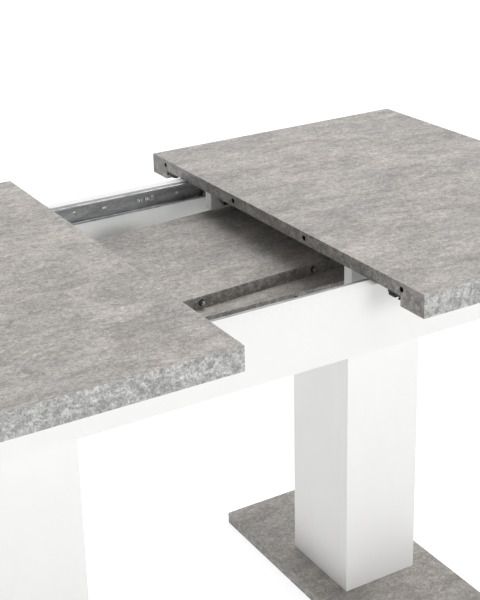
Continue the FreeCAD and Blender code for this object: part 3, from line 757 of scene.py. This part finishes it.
def runner_profile(low, high, side):
    """Closed outline of the runner in (y, z): a web towards the table's middle and two grooved flanges."""
    wall, bend = sizes().steel_wall, sizes().runner_bend
    depth, half = high[1] - low[1], (high[2] - low[2]) / 2
    groove, reach, dip = depth - 3.05 * MM, 1.6 * MM, 0.35 * MM
    spread = np.linspace(-1, 1, 7)
    dish = dip * np.cos(spread * np.pi / 2)
    outer_groove = np.column_stack([groove + reach * spread, half - dish])
    inner_groove = np.column_stack([groove - reach * spread, half - wall - dish])
    outer = np.concatenate([
        [[0, 0]],
        arc((bend, half - bend), bend, 180, 90),
        outer_groove,
        arc((depth - wall / 2, half - wall / 2), wall / 2, 90, -90, 6),
        inner_groove,
        arc((bend, half - bend), bend - wall, 90, 180),
        [[wall, 0]],
    ])
    place = min(abs(low[1]), abs(high[1]))
    middle = (low[2] + high[2]) / 2
    return mirrored_outline(outer, middle, -side, -place)


def mirrored_outline(half_outline, middle, side, face):
    """A half outline of (depth from a face, height from the middle) and its mirror image, as one ring."""
    lower = half_outline[1:-1][::-1] * [1, -1]
    ring = np.concatenate([half_outline, lower])
    return np.column_stack([side * (face - ring[:, 0]), middle + ring[:, 1]])


def bore(x, y, z, radius, side):
    """A round bar across the web for cutting a hole."""
    return lathed([0, radius, radius, 0], [-0.004, -0.004, 0.004, 0.004], 28, (x, y, z), (0, side, 0))


def slot_bore(x, y, z, radius, stretch, side):
    """A long-hole bar: a round bar whose points are moved apart along X by the sign of their own X."""
    points, faces = bore(x, y, z, radius, side)
    points[:, 0] += np.sign(np.round(points[:, 0] - x, 7)) * stretch
    return points, faces


class TABLE_OT_rails(bpy.types.Operator):
    """Roll the two fixed slide rails, with their lips, screw holes, spare slots and pressed stops"""
    bl_idname = "table.rails"
    bl_label = "Slide rails"

    def execute(self, context):
        for side_name, side in SIDES:
            node = "slide_rail_" + side_name
            low, high = corners(node)
            stations = np.linspace(low[0], high[0], 47)
            rail = make_piece("rolled_rail_" + side_name, [swept(rail_profile(low, high, side), stations)],
                              "frame", "galvanised_steel", [node])
            web = side * (max(abs(low[1]), abs(high[1])) - sizes().steel_wall / 2)
            middle = (low[2] + high[2]) / 2
            holes = [bore(spot, web, middle, 4.02 * MM, side) for spot in RAIL_SCREWS]
            holes += [slot_bore(side * spot, web, middle, 2.2 * MM, half, side) for spot, half in RAIL_SLOTS]
            with_holes(rail, holes)
            stops = [shape for start in RAIL_STOPS for shape in rail_stop(side, start, 0.012, 10 * MM)]
            make_piece("cage_stops_" + side_name, stops, "frame", "bright_steel")
        return {"FINISHED"}


class TABLE_OT_runners(bpy.types.Operator):
    """Roll the four moving runners of the slides, and round the brackets that carry the boards"""
    bl_idname = "table.runners"
    bl_label = "Slide runners"

    def execute(self, context):
        for end, _ in ENDS:
            for side_name, side in SIDES:
                node = "slide_runner_%s_%s" % (end, side_name)
                low, high = corners(node)
                stations = np.linspace(low[0], high[0], 21)
                make_piece("rolled_runner_%s_%s" % (end, side_name),
                           [swept(runner_profile(low, high, side), stations)],
                           "top_" + end, "galvanised_steel", [node])
            soften("runner_brackets_" + end, 0.5 * MM)
        return {"FINISHED"}


class TABLE_OT_cages(bpy.types.Operator):
    """Smooth the balls, and round the thin edges of the ball cages"""
    bl_idname = "table.cages"
    bl_label = "Ball cages"

    def execute(self, context):
        for end, _ in ENDS:
            frame["nodes"]["slide_balls_" + end].data.shade_smooth()
            soften("ball_cages_" + end, 0.12 * MM, 1)
        return {"FINISHED"}


def rail_stop(side, start, length, height):
    """A pressed stop for the ball cages: a faceted block with a taller crown, both balls pulled apart."""
    middle, reach = SLIDE_HEIGHT, 3.4 * MM
    x = sorted((side * start, side * (start + length)))
    y = sorted((side * RAIL_FACE, side * (RAIL_FACE - 0.62 * reach)))
    crown = sorted((side * RAIL_FACE, side * (RAIL_FACE - reach)))
    foot = rounded_block((x[0], y[0], middle - height / 2), (x[1], y[1], middle + height / 2), 0.8 * MM, 1)
    inset = 0.25 * length
    top = rounded_block((x[0] + inset, crown[0], middle - 0.22 * height),
                        (x[1] - 0.4 * inset, crown[1], middle + 0.40 * height), 0.9 * MM, 1)
    return [foot, top]


def cross_recess(depth, reach, half_width):
    """A cross-shaped dent: full depth within a half width of either of two lines, easing at its rim."""
    def dent(radius, turn):
        off = np.minimum(np.abs(radius * np.cos(turn)), np.abs(radius * np.sin(turn)))
        across = np.clip((half_width - off) / (0.35 * half_width), 0, 1)
        along = np.clip((reach - radius) / (0.25 * reach), 0, 1)
        return depth * across * along
    return dent


def screw_shape(start, axis, length):
    """A countersunk screw turned about its axis: a face with a cross recess, a cone, a shank, a point."""
    head, shank, cone = 3.9 * MM, 1.95 * MM, 1.2 * MM
    face = np.array([0.0, 0.3, 0.6, 0.9, 1.2, 1.5, 1.8, 2.1, 2.4, 2.8, 3.3, 3.75]) * MM
    dome = 0.12 * MM * (1 - (1 - face / head) ** 2) * 0.9
    radii = np.concatenate([face, [head, shank, shank, 0.6 * shank, 0.0]])
    heights = np.concatenate([dome, [0.2 * MM, cone, length - 3 * MM, length - 1.2 * MM, length - 0.05 * MM]])
    recess = cross_recess(sizes().screw_recess, 2.3 * MM, 0.5 * MM)
    return lathed(radii, heights, 40, start, axis, dent=recess)


class TABLE_OT_screws(bpy.types.Operator):
    """Turn the frame's and the halves' countersunk screws, each with a cross recess"""
    bl_idname = "table.screws"
    bl_label = "Screws"

    def execute(self, context):
        shapes = [screw_shape(*place) for place in frame_screw_places()]
        make_piece("cross_screws_frame", shapes, "frame", "bright_steel", ["frame_screws"])
        for end, sign in ENDS:
            shapes = [screw_shape(*place) for place in top_screw_places(sign)]
            make_piece("cross_screws_top_" + end, shapes, "top_" + end, "bright_steel", ["top_screws_" + end])
        return {"FINISHED"}


def frame_screw_places():
    """Start, direction and length of each screw in the frame."""
    places = []
    for _, side in SIDES:
        for x in RAIL_SCREWS:
            places.append(((x, side * RAIL_FACE, SLIDE_HEIGHT), (0, side, 0), SCREW_LENGTH["rail"]))
        for _, sign in ENDS:
            for share in (0.25, 0.75):
                spot = (sign * CORNER_SCREW_ALONG, side * CORNER_SCREW_ACROSS,
                        PLATE_TOP + share * CORNER_BLOCK_RISE)
                places.append((spot, (0, side, 0), SCREW_LENGTH["corner"]))
    for _, sign in ENDS:
        for x_sign, y_sign in PAIRS_OF_SIGNS:
            x, y = sign * COLUMN_MIDDLE + x_sign * COLUMN_SCREW, y_sign * COLUMN_SCREW
            places.append(((x, y, BASE_UNDERSIDE), UP, SCREW_LENGTH["base"]))
            places.append(((x, y, PLATE_TOP), DOWN, SCREW_LENGTH["plate"]))
    return places


def top_screw_places(sign):
    """Start, direction and length of each screw under one half: those of its battens and of its brackets."""
    places = []
    for side_name, side in SIDES:
        y = side * (BATTEN_FACE[side_name] + BATTEN_HALF_WIDTH)
        for share in (0.1, 0.5, 0.9):
            x = sign * (BATTEN_START + share * BATTEN_LENGTH)
            places.append(((x, y, BATTEN_UNDERSIDE), UP, SCREW_LENGTH["batten"]))
        for x in BRACKET_SCREWS_ALONG:
            spot = (sign * x, side * BRACKET_SCREWS_ACROSS, BRACKET_UNDERSIDE)
            places.append((spot, UP, SCREW_LENGTH["bracket"]))
    return places


def pin_shape(tip, axis):
    """A fluted pin turned about its axis: a chamfered tip, then a shank whose radius dips by a cosine
    that goes round once for each flute.
    """
    chamfer, flutes = sizes().pin_chamfer, sizes().pin_flutes
    radius, reach = PIN_RADIUS, PIN_LENGTH
    radii = np.array([0.0, radius - chamfer * 1.1, radius - chamfer * 0.5, radius, radius, radius, 0.0])
    heights = np.array([0.0, 0.0, 0.35 * chamfer, chamfer, chamfer + 0.5 * MM, reach, reach])

    def ripple(r, turn):
        return r - 0.035 * r * (0.5 + 0.5 * np.cos(flutes * turn)) * (r > 0.98 * radius)
    return lathed(radii, heights, flutes * 4, tip, axis, ripple=ripple)


def shadow_ring_shape(face, axis):
    """Painted shadow: a thin black ring round a pin for the shadow gap round it, a ring outline turned about
    the pin's axis.
    """
    outline_r = np.array([1.02, 1.30, 1.36, 1.30, 1.02, 1.02]) * PIN_RADIUS
    outline_h = np.array([-0.35, -0.35, -0.05, 0.4, 0.4, -0.35]) * MM
    return lathed(outline_r, outline_h, 32, face, axis)


def hole_sleeve(y):
    """The black sleeve in a pin hole: a thin cup turned about the hole's line, open at the mating edge."""
    outer, inner, depth = 4.28 * MM, 4.12 * MM, 11.9 * MM
    radii = [0.0, outer, outer, inner, inner, 0.0]
    heights = [depth, depth, 0.05 * MM, 0.05 * MM, depth - 0.15 * MM, depth - 0.15 * MM]
    return lathed(radii, heights, 32, (MATING_EDGE, y, PIN_HEIGHT), ALONG)


class TABLE_OT_pins(bpy.types.Operator):
    """Turn the fluted locating pins, the black rings round them that paint the shadow gap, and the black
    sleeves that they enter
    """
    bl_idname = "table.pins"
    bl_label = "Locating pins"

    def execute(self, context):
        pins = [pin_shape((PIN_SHOWS - MATING_EDGE, y, PIN_HEIGHT), (-1, 0, 0)) for y in PIN_SPOTS]
        make_piece("fluted_pins_left", pins, "top_left", "wood_pin", ["locating_pins"])
        # Black rings round the left half's pins: painted shadow of the gap round each pin.
        shadow_rings = [shadow_ring_shape((-MATING_EDGE, y, PIN_HEIGHT), ALONG) for y in PIN_SPOTS]
        make_piece("pin_shadow_rings_left", shadow_rings, "top_left", "black_plastic")
        make_piece("hole_sleeves_right", [hole_sleeve(y) for y in PIN_SPOTS], "top_right", "black_plastic")
        pins, shadow_rings = [], []
        for middle, turn in LEAVES:
            along = np.array([math.cos(turn), math.sin(turn), 0])
            inward = np.array([-math.sin(turn), math.cos(turn), 0])
            for spot in PIN_SPOTS:
                face = np.array(middle) + spot * along - LEAF_HALF_WIDTH * inward
                pins.append(pin_shape(face - PIN_SHOWS * inward, inward))
                # Black ring round each leaf pin: painted shadow of the gap round it.
                shadow_rings.append(shadow_ring_shape(face, -inward))
        make_piece("fluted_pins_leaves", pins, "frame", "wood_pin", ["leaf_pins"])
        make_piece("pin_shadow_rings_leaves", shadow_rings, "frame", "black_plastic")
        return {"FINISHED"}


class TABLE_OT_catches(bpy.types.Operator):
    """Round the catches, levers, strikers and guides, and add their ribs and small screws"""
    bl_idname = "table.catches"
    bl_label = "Catches and guides"

    def execute(self, context):
        edge = sizes().plastic_edge
        for name in ("catch_bodies", "catch_strikers", "leaf_guides_left", "leaf_guides_right"):
            soften(name, edge)
        for name in ("catch_lever_near", "catch_lever_far"):
            soften(name, edge * 0.6)
        start = corners("catch_bodies")[0][0]
        ribs, screws, striker_screws = [], [], []
        for _, side in SIDES:
            inner, outer = sorted(side * face for face in RIB_FACES)
            for step in range(5):
                x = start + (4.5 + step * 5.0) * MM
                ribs.append(rounded_block((x, inner, RIB_HEIGHTS[0]), (x + 2.2 * MM, outer, RIB_HEIGHTS[1]),
                                          0.4 * MM, 2))
            for x, y in CATCH_SCREWS:
                screws.append(screw_shape((x, side * y, CATCH_UNDERSIDE), UP, SCREW_LENGTH["catch"]))
            x, y = STRIKER_SCREW
            striker_screws.append(screw_shape((x, side * y, STRIKER_UNDERSIDE), UP, SCREW_LENGTH["striker"]))
        make_piece("catch_ribs", ribs, "top_right", "black_plastic")
        make_piece("catch_screws", screws, "top_right", "bright_steel")
        make_piece("striker_screws", striker_screws, "top_left", "bright_steel")
        return {"FINISHED"}


class TABLE_OT_glides(bpy.types.Operator):
    """Turn the felt glides under the base plates"""
    bl_idname = "table.glides"
    bl_label = "Floor glides"

    def execute(self, context):
        radius, height, edge = 12 * MM, 2 * MM, 0.7 * MM
        rim = arc((radius - edge, edge), edge, -90, 0, 4)
        radii = np.concatenate([[0.0, radius * 0.5], rim[:, 0], [radius, 0.0]])
        heights = np.concatenate([[0.0, 0.0], rim[:, 1], [height, height]])
        shapes = []
        for _, sign in ENDS:
            for x_sign, y_sign in PAIRS_OF_SIGNS:
                spot = (sign * COLUMN_MIDDLE + x_sign * GLIDE_ALONG, y_sign * GLIDE_ACROSS, 0.0)
                shapes.append(lathed(radii, heights, 36, spot, UP))
        make_piece("felt_glides", shapes, "frame", "grey_felt", ["floor_glides"])
        return {"FINISHED"}


# ---------------------------------------------------------------- the studio

CAMERA_PLACE = (-0.88604, -1.64084, 1.43682)
CAMERA_YAW, CAMERA_PITCH, CAMERA_ROLL = 0.500809, 0.326010, -0.033815
CAMERA_SHIFT = (0.0750, -0.18333)


class TABLE_OT_stage(bpy.types.Operator):
    """Lay the pale floor, set the soft lights and stand the camera"""
    bl_idname = "table.stage"
    bl_label = "Studio"

    def execute(self, context):
        self.make_floor()
        self.make_lights()
        self.make_camera()
        return {"FINISHED"}

    def make_floor(self):
        """A wide flat disc just under the glides: radius grows by steps while the angle goes round."""
        points, faces = lathed([0, 2, 8, 30, 90], [0, 0, 0, 0, 0], 64, (0, 0, -0.0002), UP)
        mesh = bpy.data.meshes.new("floor")
        mesh.from_pydata(points, [], faces)
        finish_mesh(mesh)
        if mesh.polygons[0].normal.z < 0:
            mesh.flip_normals()
        floor = bpy.data.objects.new("floor", mesh)
        bpy.context.scene.collection.objects.link(floor)
        material = bpy.data.materials.new("pale_floor")
        material.use_nodes = True
        shader = material.node_tree.nodes["Principled BSDF"]
        shader.inputs["Base Color"].default_value = (0.42, 0.42, 0.42, 1)
        shader.inputs["Roughness"].default_value = 0.9
        shader.inputs["Specular IOR Level"].default_value = 0.1
        shader.inputs["Emission Color"].default_value = (1, 1, 1, 1)
        shader.inputs["Emission Strength"].default_value = bpy.context.scene.table_studio.floor_glow
        mesh.materials.append(material)

    def make_lights(self):
        """Broad lights from above, in front and the right, an even pale sky, and a brighter screen behind."""
        studio = bpy.context.scene.table_studio
        for name, strength, spread, towards in (("key", studio.key, 45, (0.35, 0.10, 1.0)),
                                                ("fill", studio.fill, 20, (0.20, -1.0, 0.20)),
                                                ("side", studio.side, 40, (1.0, -0.05, 0.55))):
            light = bpy.data.lights.new(name, "SUN")
            light.energy = strength
            light.angle = math.radians(spread)
            lamp = bpy.data.objects.new(name, light)
            lamp.rotation_euler = Vector(towards).to_track_quat("Z", "Y").to_euler()
            bpy.context.scene.collection.objects.link(lamp)
        world = bpy.data.worlds.new("studio")
        world.use_nodes = True
        background = world.node_tree.nodes["Background"]
        background.inputs["Color"].default_value = (1.0, 0.995, 0.99, 1)
        tree = world.node_tree
        direction = put(tree, "TexCoord", {})
        parted = put(tree, "SeparateXYZ", {0: direction.outputs["Generated"]})
        behind = spread_between(tree, parted.outputs["Y"], 0.30, 0.80)
        low = spread_between(tree, parted.outputs["Z"], 0.62, 0.35)
        screen = times(tree, behind, low)
        level = put(tree, "MapRange", {"Value": screen, "To Min": studio.sky, "To Max": studio.screen})
        tree.links.new(level.outputs[0], background.inputs["Strength"])
        bpy.context.scene.world = world
        bpy.context.scene.view_settings.view_transform = "Standard"

    def make_camera(self):
        """It looks along (sin yaw cos pitch, cos yaw cos pitch, -sin pitch), rolled about that line."""
        camera = bpy.data.cameras.new("camera")
        camera.lens = bpy.context.scene.table_studio.lens
        camera.sensor_width = 36.0
        camera.shift_x, camera.shift_y = CAMERA_SHIFT
        camera.clip_end = 200
        ahead = Vector((math.sin(CAMERA_YAW) * math.cos(CAMERA_PITCH),
                        math.cos(CAMERA_YAW) * math.cos(CAMERA_PITCH), -math.sin(CAMERA_PITCH)))
        level = Vector((math.cos(CAMERA_YAW), -math.sin(CAMERA_YAW), 0))
        above = level.cross(ahead)
        right = math.cos(CAMERA_ROLL) * level + math.sin(CAMERA_ROLL) * above
        up = -math.sin(CAMERA_ROLL) * level + math.cos(CAMERA_ROLL) * above
        turned = Matrix((right, up, -ahead)).transposed().to_4x4()
        item = bpy.data.objects.new("camera", camera)
        item.matrix_world = Matrix.Translation(CAMERA_PLACE) @ turned
        bpy.context.scene.collection.objects.link(item)
        bpy.context.scene.camera = item


OPERATORS = (
    TABLE_OT_finishes,
    TABLE_OT_boards,
    TABLE_OT_panels,
    TABLE_OT_rails,
    TABLE_OT_runners,
    TABLE_OT_cages,
    TABLE_OT_screws,
    TABLE_OT_pins,
    TABLE_OT_catches,
    TABLE_OT_glides,
    TABLE_OT_stage,
)


class TABLE_PT_pieces(bpy.types.Panel):
    """The table's pieces in the order they are made, and its sizes and colours"""
    bl_idname = "TABLE_PT_pieces"
    bl_label = "Dining Table"
    bl_space_type = "VIEW_3D"
    bl_region_type = "UI"
    bl_category = "Table"

    def draw(self, context):
        column = self.layout.column()
        for operator in OPERATORS:
            column.operator(operator.bl_idname)
        for owner in (context.scene.table_sizes, context.scene.table_finishes, context.scene.table_studio):
            box = self.layout.box()
            for name in owner.bl_rna.properties.keys():
                if name not in ("rna_type", "name"):
                    box.prop(owner, name)


SETTINGS = (("table_sizes", TableSizes), ("table_finishes", TableFinishes), ("table_studio", StudioSettings))


def register():
    """Registers the settings, operators and panel."""
    for name, group in SETTINGS:
        bpy.utils.register_class(group)
        setattr(bpy.types.Scene, name, PointerProperty(type=group))
    for item in (*OPERATORS, TABLE_PT_pieces):
        bpy.utils.register_class(item)


def unregister():
    """Takes them away again."""
    for item in reversed((*OPERATORS, TABLE_PT_pieces)):
        bpy.utils.unregister_class(item)
    for name, group in reversed(SETTINGS):
        delattr(bpy.types.Scene, name)
        bpy.utils.unregister_class(group)


def main():
    """Makes the whole table and its studio."""
    register()
    bpy.ops.table.finishes()
    bpy.ops.table.boards()
    bpy.ops.table.panels()
    bpy.ops.table.rails()
    bpy.ops.table.runners()
    bpy.ops.table.cages()
    bpy.ops.table.screws()
    bpy.ops.table.pins()
    bpy.ops.table.catches()
    bpy.ops.table.glides()
    bpy.ops.table.stage()


if __name__ == "__main__":
    main()
